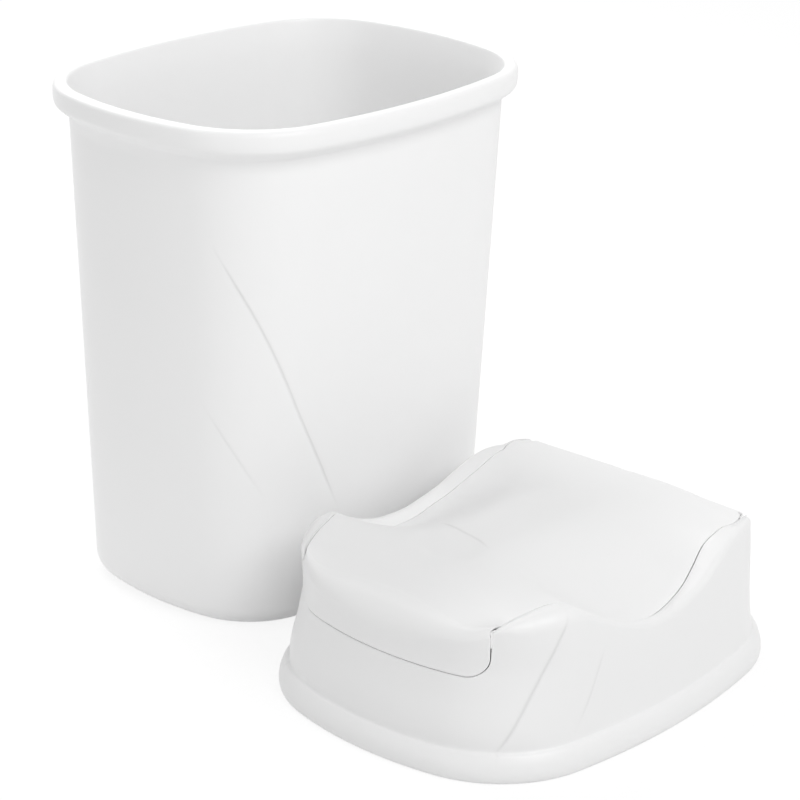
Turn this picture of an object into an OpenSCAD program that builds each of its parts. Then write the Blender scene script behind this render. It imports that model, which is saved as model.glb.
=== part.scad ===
// Nappy bin: an open tub and, standing beside it, the lid unit that lifts off it.
// Origin: middle of the tub's foot, on the floor. -Y is the front, +X the tub's right-hand side.

/* [Tub] */
// Height of the tub with its rim
tub_height = 334; // [300:1:370]
// Outer width of the rim, left to right
rim_width = 231; // [220:1:245]
// Outer depth of the rim, front to back
rim_depth = 300; // [288:1:320]
// Outer radius of the rim's corners
rim_corner = 74.6; // [66:0.2:78]
// Outward bow of the left and right sides
side_bow = 6.4; // [3:0.1:9]
// Outward bow of the front and back
end_bow = 4; // [2:0.1:6]
// Width of the rim's flat top, from outer to inner edge
rim_top = 10.4; // [9:0.1:12]
// Height of the rim bead with its sloped underside
rim_bead = 21; // [18:0.5:26]
// How far the side walls lean in from rim to floor
side_taper = 9.7; // [6:0.1:14]
// How far the front and back walls lean in from rim to floor
end_taper = 11.7; // [6:0.1:16]
// Thickness of the tub's walls and floor
tub_wall = 2.6; // [2:0.1:3.4]
// Radius of the round between the walls and the floor
foot_radius = 12; // [8:0.5:18]

/* [Cover] */
// Overhang of the cover's band past the rim, each side
band_overhang = 5.2; // [4.6:0.1:6]
// Height of the flared band round the cover's foot
band_height = 17; // [15:0.5:20]
// Clearance between the band and the rim
band_clearance = 0.6; // [0.4:0.1:1]
// Wall thickness of the cover
cover_wall = 2.4; // [2:0.1:3]
// Height of the humps at the front of the cover
hump_height = 100; // [92:0.5:110]
// Height of the crest at the back of the cover
crest_height = 96; // [90:0.5:104]
// Depth of the dip between hump and crest
dip_depth = 31; // [22:0.5:34]
// Height of the inner deck that has the opening
deck_height = 42; // [36:0.5:46]
// Distance of the opening's edge from the band's outer edge
opening_inset = 56; // [50:0.5:60]

/* [Flap] */
// Sheet thickness of the flap
flap_wall = 2.4; // [2:0.1:3]
// Gap all round between flap and cover
flap_gap = 0.7; // [0.5:0.1:1]
// Distance of the front lip's ends in from the band's sides
lip_end_inset = 47.6; // [46:0.1:50]
// Height of the front lip's lower edge
lip_bottom = 61; // [56:0.5:64]
// Corner radius of the front lip
lip_corner = 12.5; // [8:0.5:16]
// How far the flap's middle stands above its sides at the dip
flap_crown = 3; // [0:0.5:5]
// Radius of the barrel along the flap's back edge
barrel_radius = 7.5; // [6.5:0.1:8]
// Distance of the barrel's ends in from the band's sides
barrel_end_inset = 38.7; // [38.5:0.1:41]

/* [Hinge] */
// Distance of the hinge line in front of the rim's back edge
hinge_inset = 45; // [44:0.5:48]
// Diameter of the hinge pins
pin_diameter = 5; // [4:0.1:6]
// Running clearance round the pins, on the radius
pin_clearance = 0.05; // [0.02:0.01:0.1]
// Length of each hinge pin
pin_length = 17; // [15:0.5:19]

/* [Seal] */
// Thickness of the soft ring that rests on the rim
rim_seal_thickness = 1.6; // [1:0.1:2.5]

/* [Resting place of the lid unit] */
// Distance between the tub's foot and the lid unit's band
lid_gap = 10.9; // [8:0.1:60]
// Distance that the lid unit stands forward of the tub
lid_forward = 21.5; // [0:0.5:40]

/* [Hidden] */
plastic = [0.95, 0.95, 0.94];
soft_grey = [0.80, 0.80, 0.79];
steel = [0.72, 0.73, 0.74];

// Hinge line, back of and above the lid unit's origin
hinge_back = rim_depth / 2 - hinge_inset;
hinge_up = crest_height - barrel_radius;
rear_edge = hinge_back + barrel_radius + 0.8;
dip_bottom = hump_height - dip_depth - 2;
front_lip_top = lip_bottom + 16;
// How far in from the band's edge the lip's face lies
lip_depth = 15.2;

// Outlines
// An outline is [half width, half depth, side bow, end bow, corner radius]
rim = [rim_width / 2, rim_depth / 2, side_bow, end_bow, rim_corner];
tub_top = inset_outline(rim, rim_top);
tub_foot = [tub_top[0] - side_taper, tub_top[1] - end_taper, side_bow * 0.94, end_bow * 0.76,
            rim_corner - rim_top - 5];
band = inset_outline(rim, -band_overhang);
lid_right = tub_foot[0] + band[0] + lid_gap;
lip_half_width = band[0] - lip_end_inset;

function inset_outline(s, d) = [s[0] - d, s[1] - d, s[2], s[3], s[4] - d];
function mix(a, b, t) = a + (b - a) * t;
function clamp01(t) = min(1, max(0, t));
function smooth(t) = let (u = clamp01(t)) u * u * (3 - 2 * u);

// Corner centre and the angles at which the bowed sides meet the corner arcs
function centre_x(s) = s[0] - s[4] - s[2];
function centre_y(s) = s[1] - s[4] - s[3];
function bow_radius(half, bow) = (half * half + bow * bow) / (2 * bow);
function side_angle(s) = asin(centre_y(s) / bow_radius(centre_y(s), s[2]));
function end_angle(s) = asin(centre_x(s) / bow_radius(centre_x(s), s[3]));

// Point of the outline where its normal has the angle a (0 to 90), moved in by d
function quarter_point(s, a, d) =
    let (r = s[4] - d, cx = centre_x(s), cy = centre_y(s),
         rx = bow_radius(cy, s[2]), ry = bow_radius(cx, s[3]))
    a <= side_angle(s) ? [cx + s[2] - rx + (rx + r) * cos(a), (rx + r) * sin(a)]
    : a < 90 - end_angle(s) ? [cx + r * cos(a), cy + r * sin(a)]
    : [(ry + r) * cos(a), cy + s[3] - ry + (ry + r) * sin(a)];

// The same for any angle round the outline
function outline_point(s, a, d) =
    let (q = floor(a / 90) % 4, f = a - 90 * floor(a / 90),
         p = quarter_point(s, q % 2 == 0 ? f : 90 - f, d))
    [(q == 0 || q == 3 ? 1 : -1) * p[0], (q < 2 ? 1 : -1) * p[1]];

// Stations round an outline, as normal angles in the first quarter
side_steps = 4;
corner_steps = 10;
end_steps = 4;
function quarter_angles(s) =
    let (a1 = side_angle(s), a2 = 90 - end_angle(s))
    [for (i = [0 : side_steps - 1]) a1 * i / side_steps,
     for (i = [0 : corner_steps - 1]) a1 + (a2 - a1) * i / corner_steps,
     for (i = [0 : end_steps - 1]) a2 + (90 - a2) * i / end_steps];
function mirrored(q) = [for (i = [len(q) - 1 : -1 : 1]) 180 - q[i]];
function all_angles(rear, front) =
    [each rear, 90, each mirrored(rear),
     for (a = front) 180 + a, 270, for (i = [len(front) - 1 : -1 : 1]) 360 - front[i]];
function ring(s, angles, d, z) = [for (a = angles) let (p = outline_point(s, a, d)) [p[0], p[1], z]];

// Faces of a skin through rings of n points, with flat ends or closed on itself
function band_faces(n, j, k) = [for (i = [0 : n - 1]) let (m = (i + 1) % n)
    each [[j * n + i, k * n + i, k * n + m], [j * n + i, k * n + m, j * n + m]]];
function ended_faces(n, rings) = [
    for (j = [0 : rings - 2]) each band_faces(n, j, j + 1),
    [for (i = [0 : n - 1]) i],
    [for (i = [n - 1 : -1 : 0]) (rings - 1) * n + i]];
function closed_faces(n, rings) = [for (j = [0 : rings - 1]) each band_faces(n, j, (j + 1) % rings)];

// Smooth curve through points [[u, v], ...] with rising u
function slope_at(c, i) =
    let (a = max(i - 1, 0), b = min(i + 1, len(c) - 1)) (c[b][1] - c[a][1]) / (c[b][0] - c[a][0]);
function curve(c, u) =
    u <= c[0][0] ? c[0][1] : u >= c[len(c) - 1][0] ? c[len(c) - 1][1] :
    let (i = max([for (k = [0 : len(c) - 2]) if (c[k][0] <= u) k]),
         h = c[i + 1][0] - c[i][0], t = (u - c[i][0]) / h)
    (2 * t ^ 3 - 3 * t ^ 2 + 1) * c[i][1] + (t ^ 3 - 2 * t ^ 2 + t) * h * slope_at(c, i)
    + (3 * t ^ 2 - 2 * t ^ 3) * c[i + 1][1] + (t ^ 3 - t ^ 2) * h * slope_at(c, i + 1);

// Tub
function tub_outline(z) =
    let (t = clamp01(z / (tub_height - rim_bead)))
    [for (i = [0 : 4]) mix(tub_foot[i], tub_top[i], t)];
function tub_ring(z, d) = ring(tub_outline(z), quarter_ring(tub_outline(z)), d, z);
function quarter_ring(s) = all_angles(quarter_angles(s), quarter_angles(s));
function rim_ring(drop, d) = ring(rim, quarter_ring(rim), d, tub_height - drop);
// Ring on a round of radius r between wall (t = 0) and floor (t = 90)
function foot_ring(r, t) = tub_ring(foot_radius - r * sin(t), foot_radius - r * cos(t));

// Profile of the rim bead as [drop below the top, distance in from the outer edge]
rim_profile = [[rim_bead - 2, rim_top - 1.8], [16, 4.2], [13.5, 1.6], [10, 0.7], [5, 0.6], [2.4, 1],
               [0.9, 2.2], [0, 4.2], [0, rim_top - 2.6], [0.7, rim_top - 1], [2.4, rim_top - 0.2]];

module tub() {
    rings = concat(
        [for (t = [90 : -22.5 : 0]) foot_ring(foot_radius, t)],
        [tub_ring(tub_height - rim_bead, 0)],
        [for (p = rim_profile) rim_ring(p[0], p[1])],
        [tub_ring(tub_height - rim_bead - 2, tub_wall)],
        [for (t = [0 : 30 : 90]) foot_ring(foot_radius - tub_wall, t)]);
    n = len(rings[0]);
    color(plastic) polyhedron(points = [for (r = rings) each r], faces = ended_faces(n, len(rings)));
}

// Lid unit
// Signed angle from the side, positive to the back, so both sides share one curve
function from_side(a) = a <= 90 ? a : a <= 270 ? 180 - a : a - 360;

// Distance of the seam in from the band's outer edge, against that angle
seam_inset = [[-53.3, 15.6], [-47, 17.9], [-40, 21.4], [-26, 25.7], [-15, 26.4], [-9.5, 24.3], [-7.3, 22],
              [-4.5, 22.1], [0, 23.4], [3, 24.2], [5.5, 26.6], [7.5, 28.6], [9.2, 27], [12, 24.4],
              [18, 21.2], [25, 19.4], [30, 18], [35, 17], [42, 16.4]];
function seam_in(a) =
    let (u = from_side(a), r = outline_to_rear(a))
    u > 30 ? max(curve(seam_inset, u), r) : curve(seam_inset, u);

// How far in from the band the straight rear edge of the flap's opening lies
function outline_to_rear(a) =
    let (p = outline_point(band, a, 0)) (p[1] - rear_edge) / max(0.3, sin(from_side(a)));

// Angle at which the seam along the side meets that straight edge, halving the range n times
function rear_corner(low, high, n) =
    let (m = (low + high) / 2)
    n == 0 ? m
    : curve(seam_inset, m) > outline_to_rear(m) ? rear_corner(m, high, n - 1) : rear_corner(low, m, n - 1);

// Angle on the front corner at which the lip's face stands x from the middle
function lip_angle_at(x) = acos((x - centre_x(band)) / (band[4] - lip_depth));
lip_angle = lip_angle_at(lip_half_width);
flap_lip_half = lip_half_width - flap_gap;

// Stations round the cover, with extra ones at the rear corner and round the lip's rounded lower corner
lip_edge_step = 0.5;
corner_marks = [lip_angle - lip_edge_step,
                for (t = [90 : -22.5 : 0]) lip_angle_at(flap_lip_half - lip_corner + (lip_corner + flap_gap) * sin(t))];
function lid_quarter(marks, before, after) =
    let (a1 = side_angle(band), a2 = 90 - end_angle(band), last = marks[len(marks) - 1])
    [for (i = [0 : side_steps - 1]) a1 * i / side_steps,
     for (i = [0 : before - 1]) mix(a1, marks[0], i / before),
     each marks,
     for (i = [1 : after - 1]) mix(last, a2, i / after),
     for (i = [0 : end_steps - 1]) mix(a2, 90, i / end_steps)];
lid_angles = all_angles(lid_quarter([rear_corner(30, 60, 20)], 5, 5), lid_quarter(corner_marks, 5, 2));

// The curves below run from front to back of a rim this deep and are stretched to the real one
drawn_depth = 300;
function drawn(y) = y * drawn_depth / rim_depth;

// Heights along the sides as [distance back of the middle, height]
seam_heights = [[-127, hump_height - 12], [-119, hump_height - 6.5], [-109, hump_height - 3],
                [-95, hump_height - 0.5], [-85, hump_height], [-75, hump_height - 2.5],
                [-67, mix(hump_height, dip_bottom, 0.22)], [-58, mix(hump_height, dip_bottom, 0.44)],
                [-48, mix(hump_height, dip_bottom, 0.65)], [-36, mix(hump_height, dip_bottom, 0.84)],
                [-22, mix(hump_height, dip_bottom, 0.97)], [-8, dip_bottom], [6, dip_bottom + 0.8],
                [20, mix(crest_height, dip_bottom, 0.85)], [34, mix(crest_height, dip_bottom, 0.69)],
                [50, mix(crest_height, dip_bottom, 0.40)], [60, mix(crest_height, dip_bottom, 0.22)],
                [72, mix(crest_height, dip_bottom, 0.08)], [86, crest_height - 0.8], [97, crest_height],
                [120, crest_height - 5]];
function seam_z(y) = curve(seam_heights, drawn(y));

// Wall of the cover: distance in from the band's outer edge against height
wall_in = [[18.5, 8], [24, 8.9], [32, 9.9], [45, 11], [60, 11.8], [75, 12.6], [100, 14.4]];
// The front is hollowed a little: further out at its foot, further in below the humps
front_hollow = [[18, 0], [24, -1.2], [31, -1.2], [38, -0.2], [47, 1.5], [56, 2.8], [63, 3.6], [70, 3.4],
                [83, 1.6], [90, 0.5]];
function wall_inset(a, z) = curve(wall_in, z) + smooth(-1.25 * sin(a)) * curve(front_hollow, z);

// Profile of the flared band as [distance in, height]
band_inner = band_overhang - band_clearance;
band_profile = [[band_inner, 0.8], [band_inner - 0.3, 0.2], [band_inner - 0.9, 0], [2.4, 0.6], [1.5, 2.2], [1.2, 4.6],
                [1.6, 8], [3, 12], [4.8, 15], [6, 16.4], [7, band_height]];
ledge_height = band_height - cover_wall - 2;

// Lower edge of the flap's lip at distance x from the middle, or a line that runs g below it
function lip_z(x, g) =
    let (r = lip_corner + g, u = min(r, max(0, abs(x) - (flap_lip_half - lip_corner))))
    lip_bottom + lip_corner - sqrt(r * r - u * u);

// Distance in of the bowl's wall at height z, leaning in from the seam to the deck
function bowl_inset(w, foot, top, z) = mix(foot, w, clamp01((z - deck_height) / (top - deck_height)));
bowl_foot_min = 23;

// Inside of the double wall, from the deck's underside over the hollow's top and down the outer wall
function hollow(a, w, foot, top, wide_top) =
    let (t = cover_wall, low = deck_height + 2,
         z1 = top - t - 3,
         gap_top = bowl_inset(w, foot, top, z1) - wall_inset(a, z1) - 2 * t,
         room = [for (k = [0 : 12]) let (z = mix(low, z1, k / 12))
                 if (bowl_inset(w, foot, top, z) - wall_inset(a, z) > 2 * t + 1) z],
         zc = len(room) > 0 ? max(room) : low,
         xb = bowl_inset(w, foot, top, zc) - t, xo = wall_inset(a, zc) + t,
         zm = min(63, (gap_top > 4 ? wide_top[3][1] : zc - 0.8) - 2))
    concat([[opening_inset, deck_height], [opening_inset, deck_height - t], [foot + 3, deck_height - t],
            [foot - t + 0.8, deck_height]],
           gap_top > 4 ? wide_top
           : [[xb, zc - 0.8], [xb - 0.3, zc], [xo + 0.3, zc], [xo, zc - 0.8]],
           [[wall_inset(a, zm) + t, zm], [wall_inset(a, 30) + t, 30], [wall_inset(a, 20) + t, 20]]);

// Height of the rail's outer edge above the seam, against the distance back of the middle
rail_rise = [[-85, -1], [-66, 0.6], [-50, 3.8], [-36, 5.2], [-20, 5.2], [-4, 4.4], [15, 3], [36, 1.8],
             [58, 0.4], [72, -0.2], [86, -1.2], [98, -1.5]];
// Outer wall below height z
function outer_wall(a, z) = [for (h = [30, 46, mix(46, z, 1 / 3), mix(46, z, 2 / 3)]) [wall_inset(a, h), h]];

// Rail of the cover beside the flap, from the outer wall over its rounded edge and down to the deck
function rail_section(a) =
    let (w = seam_in(a), p = outline_point(band, a, w), y = p[1], t = cover_wall,
         back = smooth((y - hinge_back - 1) / 8), corner = smooth((y - hinge_back + 27) / 25),
         zs = seam_z(y) - 7 * back,
         ze = zs + curve(rail_rise, drawn(y)) - 1.5 * back,
         round_r = mix(mix(4.5, 9, smooth((-drawn(y) - 60) / 25)), 12, corner),
         wall_top = min(wall_inset(a, ze - 4), w - 1.8),
         rr = min(round_r, max(0.8, w - wall_top - 0.8)),
         wi = min(wall_inset(a, ze - rr), w - 1.8),
         foot = max(w + 2, bowl_foot_min),
         x2 = bowl_inset(w, foot, zs, zs - 4) - t - 0.6)
    concat(outer_wall(a, ze - rr),
        [for (k = [0 : 22.5 : 90]) [wi + rr * (1 - cos(k)), ze - rr + rr * sin(k)]],
        [[mix(wi + rr, w, 0.5), mix(ze, zs, 0.4)], [w - 0.3, zs], [w, zs - 0.4],
         [bowl_inset(w, foot, zs, zs - 5), zs - 5],
         [foot, deck_height + 1.5], [foot + 1.5, deck_height]],
        hollow(a, w, foot, zs,
            [[bowl_inset(w, foot, zs, zs - 6) - t, zs - 6], [x2, zs - t - 0.8],
             [min(wi + rr + 0.3, x2 - 0.8), ze - t - 0.6], [wi + t + 0.3, ze - rr - 0.8]]));

// Front of the cover below and behind the flap's lip
function lip_section(a) =
    let (x = outline_point(band, a, lip_depth)[0], zl = lip_z(x, flap_gap), wi = wall_inset(a, zl),
         w = max(wi, lip_depth) + flap_wall + flap_gap + 0.6, top = front_lip_top, foot = max(w + 5, bowl_foot_min))
    concat(outer_wall(a, zl - 0.6),
        [for (k = [0 : 22.5 : 90]) [wi + 0.6 * (1 - cos(k)), zl - 0.6 + 0.6 * sin(k)]],
        [[wi + 2, zl], [w, zl], [w + 0.4, top], [w + 0.4 + cover_wall, top],
         [foot, deck_height + 1.5], [foot + 1.5, deck_height]],
        hollow(a, w, foot, zl + 3, []));

// Whole section of the cover at one station, as [distance in, height]
function cover_section(a) = concat(
    band_profile, [[8, band_height + 1.5]],
    from_side(a) <= -lip_angle + 0.01 ? lip_section(a) : rail_section(a),
    [[8.2 + cover_wall, ledge_height], [band_inner, ledge_height]]);

module in_lid_place() {
    translate([lid_right, -lid_forward, 0]) children();
}

module cover() {
    sections = [for (a = lid_angles) [for (q = cover_section(a))
        let (p = outline_point(band, a, q[0])) [p[0], p[1], q[1]]]];
    m = len(sections[0]);
    n = len(sections);
    color(plastic) in_lid_place() difference() {
        union() {
            polyhedron(points = [for (s = sections) each s], faces = loft_faces(n, m));
            for (side = [-1, 1]) cover_boss(side);
        }
        for (side = [-1, 1]) hinge_rod(side, pin_diameter + 2 * pin_clearance);
    }
}
function loft_faces(n, m) = [for (i = [0 : n - 1]) let (k = (i + 1) % n) for (j = [0 : m - 1])
    let (l = (j + 1) % m) each [[i * m + j, i * m + l, k * m + l], [i * m + j, k * m + l, k * m + j]]];

// Boss in the cover's rear corner that carries a hinge pin
cover_boss_radius = 4.6;
cover_boss_length = 4.2;
module cover_boss(side) {
    x0 = side > 0 ? barrel_half + 2 : -barrel_half - 2 - cover_boss_length;
    translate([x0, hinge_back, hinge_up]) rotate([0, 90, 0])
        cylinder(r = cover_boss_radius, h = cover_boss_length, $fn = 48);
}

// Flap
// Its top rows stand at the cover's stations along the right-hand side, so the gap stays even
front_rows_end = -rim_depth / 2 + 37;
side_stations = [for (a = concat([for (k = [0 : len(lid_angles) - 1]) if (lid_angles[k] > 270) lid_angles[k]],
                                 [for (b = lid_angles) if (b < 60) b]))
    let (p = outline_point(band, a, seam_in(a))) [p[1], p[0] - flap_gap]];
barrel_half = band[0] - barrel_end_inset;
// Near the hinge the flap draws in, so that its corners clear the cover when it stands open
top_stations = [for (p = side_stations) if (p[0] > front_rows_end && p[0] < hinge_back - 3)
    [p[0], p[1] - 1.4 * smooth((p[0] - hinge_back + 11) / 8)]];

// Height along the middle of the flap
mid_heights = [[-142, hump_height - 14], [-122, hump_height - 8.5], [-105, hump_height - 2.5],
               [-83, hump_height + flap_crown - 1.5], [-55, hump_height + flap_crown],
               [-20, hump_height + flap_crown - 0.5], [20, mix(hump_height, crest_height, 0.3) + flap_crown],
               [60, mix(hump_height, crest_height, 0.8) + flap_crown * 0.6],
               [90, crest_height + flap_crown * 0.2], [105, crest_height]];
function edge_z(y) = y >= hinge_back - 8 ? mix(seam_z(hinge_back - 8), crest_height - 1, clamp01((y - hinge_back + 8) / 8))
    : seam_z(y);
function flap_z(x, y, half) =
    let (t = smooth((abs(x) / half - 0.16) / 0.84)) mix(curve(mid_heights, drawn(y)), edge_z(y), t);

// Angle of the front outline's normal at distance x from the middle, where the outline is moved in by d
function front_angle(x, d) =
    let (s = band, r = s[4] - d, cx = centre_x(s), u = abs(x))
    u <= cx + r * sin(end_angle(s)) ? acos(u / (bow_radius(cx, s[3]) + r)) : acos((u - cx) / r);

// Point of the lip's front face at height z, a little proud of the cover's wall
lip_proud = 0.4;
function lip_at(x, z) =
    let (n = front_angle(x, lip_depth), p = quarter_point(band, n, wall_inset(-n, z) - lip_proud))
    [sign(x) * p[0], -p[1], z];

// Rounding between lip and top, softer in the middle: [radius, front, top, distance across]
function nose_radius(x) = mix(20, 7, smooth(abs(x) / flap_lip_half));
function nose(x) =
    let (r = nose_radius(x), y0 = lip_at(x, front_lip_top)[1],
         p = lip_at(x, flap_z(x, y0 + r, flap_lip_half) - r))
    [r, p[1], flap_z(x, p[1] + r, flap_lip_half), p[0]];
function nose_half(y) = lookup(y, side_stations);

// Point moved in by t, square to the lip at a = 0 and downward at a = 90
function moved_in(p, x, a, t) =
    let (n = front_angle(x, lip_depth))
    [p[0] - sign(x) * t * cos(n) * cos(a), p[1] + t * sin(n) * cos(a), p[2] - t * sin(a)];

// Rows of the flap: lip levels, nose angles, top stations, barrel angles
flap_rows = concat(
    [for (f = [0, 0.06, 0.5, 1]) ["lip", f]],
    [for (t = [15 : 15 : 90]) ["nose", t]],
    [for (p = top_stations) ["top", p[0], p[1]]],
    [["top", hinge_back, barrel_half - 0.8]],
    [for (t = [20 : 20 : 120]) ["barrel", t]]);
flap_columns = let (h = [0.17, 0.34, 0.48, 0.6, 0.7, 0.79, 0.87, 0.93, 0.965, 0.985, 1])
    [for (k = [len(h) - 1 : -1 : 0]) -h[k], 0, each h];

// Point of the sheet in one row at s (-1 to 1) across, set in by t from the outer face
function lip_point(f, s, t) =
    let (x = s * flap_lip_half, e = nose(x), z = mix(lip_z(x, 0), e[2] - e[0], f))
    moved_in(lip_at(x, z), x, 0, t);
function nose_point(a, s, t) =
    let (x0 = s * flap_lip_half, e = nose(x0), end = nose(flap_lip_half),
         edge_y = end[1] + end[0] * (1 - cos(a)), x = mix(e[3], s * nose_half(edge_y), sin(a)))
    moved_in([x, e[1] + e[0] * (1 - cos(a)), e[2] - e[0] * (1 - sin(a))], x0, a, t);
function barrel_point(a, s, t) =
    let (x = s * barrel_half, r = flap_z(x, hinge_back, barrel_half) - hinge_up - t)
    [x, hinge_back + r * sin(a), hinge_up + r * cos(a)];
function flap_point(row, s, t) =
    row[0] == "lip" ? lip_point(row[1], s, t)
    : row[0] == "nose" ? nose_point(row[1], s, t)
    : row[0] == "barrel" ? barrel_point(row[1], s, t)
    : [s * (row[2] - 0.2 * t), row[1], flap_z(s * row[2], row[1], row[2]) - t];

// Sheet thickness: a deeper skirt along the two sides, thin again over the hinge
function skirt(row) =
    row[0] == "top" ? mix(6, flap_wall, smooth((row[1] - hinge_back + 45) / 25)) : flap_wall;
function flap_depth(row, s) = abs(s) > 0.97 ? skirt(row) : flap_wall;
function edge_round(s) = abs(s) == 1 ? 0.7 : abs(s) > 0.98 ? 0.15 : 0;

boss_radius = 5.6;
module flap() {
    n = len(flap_columns);
    rows = len(flap_rows);
    outer = [for (r = flap_rows) for (s = flap_columns) flap_point(r, s, edge_round(s))];
    inner = [for (r = flap_rows) for (s = flap_columns) flap_point(r, s, flap_depth(r, s))];
    color(plastic) in_lid_place() difference() {
        union() {
            polyhedron(points = concat(outer, inner), faces = sheet_faces(n, rows));
            for (side = [-1, 1]) flap_boss(side);
        }
        for (side = [-1, 1]) hinge_rod(side, pin_diameter);
    }
}

function sheet_faces(n, rows) = let (k = n * rows) [
    for (j = [0 : rows - 2]) for (i = [0 : n - 2]) let (a = j * n + i, b = a + n)
        each [[a, b, b + 1], [a, b + 1, a + 1], [k + a, k + b + 1, k + b], [k + a, k + a + 1, k + b + 1]],
    for (j = [0 : rows - 2]) let (a = j * n, b = a + n, c = a + n - 1, d = b + n - 1)
        each [[a, k + a, k + b], [a, k + b, b], [c, d, k + d], [c, k + d, k + c]],
    for (i = [0 : n - 2]) let (c = (rows - 1) * n + i)
        each [[i, i + 1, k + i + 1], [i, k + i + 1, k + i], [c, k + c, k + c + 1], [c, k + c + 1, c + 1]]];

// Boss for a hinge pin inside each end of the flap's barrel
boss_length = 14;
module flap_boss(side) {
    x0 = side > 0 ? barrel_half - boss_length : -barrel_half + 0.4;
    translate([x0, hinge_back, hinge_up]) rotate([0, 90, 0])
        cylinder(r = boss_radius, h = boss_length - 0.4, $fn = 48);
}

// Hinge pins: pressed into the flap, turning in the cover's bosses
pin_outer_end = barrel_half + 5.6;
module hinge_rod(side, d) {
    x0 = side > 0 ? pin_outer_end - pin_length : -pin_outer_end;
    translate([x0, hinge_back, hinge_up]) rotate([0, 90, 0]) cylinder(d = d, h = pin_length, $fn = 48);
}
module hinge_pin_left() {
    color(steel) in_lid_place() hinge_rod(-1, pin_diameter);
}
module hinge_pin_right() {
    color(steel) in_lid_place() hinge_rod(1, pin_diameter);
}

// Soft ring under the cover's step, resting on the tub's rim
module rim_seal() {
    angles = quarter_ring(band);
    outer_in = band_inner + 0.4;
    inner_in = outer_in + 5;
    low = ledge_height - rim_seal_thickness;
    rings = [ring(band, angles, outer_in, low), ring(band, angles, outer_in, ledge_height),
             ring(band, angles, inner_in, ledge_height), ring(band, angles, inner_in, low)];
    color(soft_grey) in_lid_place()
        polyhedron(points = [for (r = rings) each r], faces = closed_faces(len(angles), 4));
}

tub();
cover();
flap();
hinge_pin_left();
hinge_pin_right();
rim_seal();
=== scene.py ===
# %% [markdown]
# # A white nappy bin, open, with its lid unit set down beside it
#
# The bin is two loose units. The tub is a tall pail with a rolled rim. The lid unit is a
# saddle-topped cover with a flared band round its foot, and a large flap let into its top.
# Both are injection-moulded in white polypropylene, so every wall is a thin skin that leans a
# few degrees for the mould, and every edge has a small round.
#
# The frame holds the same pieces as solids made of flat facets. Here the three large skins are
# worked out again as dense surfaces, so that light runs over them without steps. Two kinds of
# fine detail are added to the skins: soft creases at the front corners, and a shallow thumb
# dish in the flap.

# %% Load the frame
import math

import bpy
import numpy as np
from mathutils import Matrix


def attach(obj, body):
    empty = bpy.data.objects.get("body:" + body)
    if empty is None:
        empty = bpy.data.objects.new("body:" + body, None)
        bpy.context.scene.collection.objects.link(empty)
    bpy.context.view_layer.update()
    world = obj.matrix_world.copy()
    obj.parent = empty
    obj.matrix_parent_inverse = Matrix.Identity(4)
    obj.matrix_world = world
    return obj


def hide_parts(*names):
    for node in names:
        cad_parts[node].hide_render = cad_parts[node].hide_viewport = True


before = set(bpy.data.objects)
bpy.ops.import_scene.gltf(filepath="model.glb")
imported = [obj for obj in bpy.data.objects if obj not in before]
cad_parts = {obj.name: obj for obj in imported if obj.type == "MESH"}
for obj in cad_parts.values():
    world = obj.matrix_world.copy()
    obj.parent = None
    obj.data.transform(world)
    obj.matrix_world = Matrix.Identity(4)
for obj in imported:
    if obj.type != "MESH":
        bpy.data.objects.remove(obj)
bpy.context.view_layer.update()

# %% [markdown]
# ## The camera
#
# The photograph was taken from the front right, from a bit over twice the tub's height, with
# a long lens. The camera's turns are given as yaw, pitch and roll, because that is how a
# photographer would set a tripod head. A matrix is built from them: right, up and backwards.

# %% Camera
def camera_axes(yaw, pitch, roll):
    """Right, up and back of a camera as columns. Forward is the horizontal heading tipped down
    by the pitch; right and up are then turned about it by the roll."""
    level_right = np.array([math.sin(yaw), math.cos(yaw), 0.0])
    heading = np.array([-math.cos(yaw), math.sin(yaw), 0.0])
    forward = heading * math.cos(pitch) - np.array([0.0, 0.0, math.sin(pitch)])
    level_up = np.cross(level_right, forward)
    right = level_right * math.cos(roll) + level_up * math.sin(roll)
    up = level_up * math.cos(roll) - level_right * math.sin(roll)
    return np.stack([right, up, -forward], axis=1)


yaw, pitch, roll = math.radians(48.82), math.radians(21.67), math.radians(1.4)
camera_place = [1.13682, -1.18487, 0.76035]
camera = bpy.data.cameras.new("camera")
camera.sensor_width = 36.0
camera.lens = 118.6
camera.clip_end = 30.0
camera_object = bpy.data.objects.new("camera", camera)
bpy.context.scene.collection.objects.link(camera_object)
matrix = np.eye(4)
matrix[:3, :3] = camera_axes(yaw, pitch, roll)
matrix[:3, 3] = camera_place
camera_object.matrix_world = Matrix(matrix.tolist())
bpy.context.scene.camera = camera_object
print("lens", camera.lens, "mm, distance", round(float(np.linalg.norm(camera_place)), 2), "m")

# %% [markdown]
# ## Tools for skins
#
# A moulded skin is a grid of points: one direction runs round the outline, the other along
# the wall's section. Working on whole arrays keeps this quick, and one function turns any
# grid into a mesh. All sizes below are in millimetres and become metres at the very end.

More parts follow.
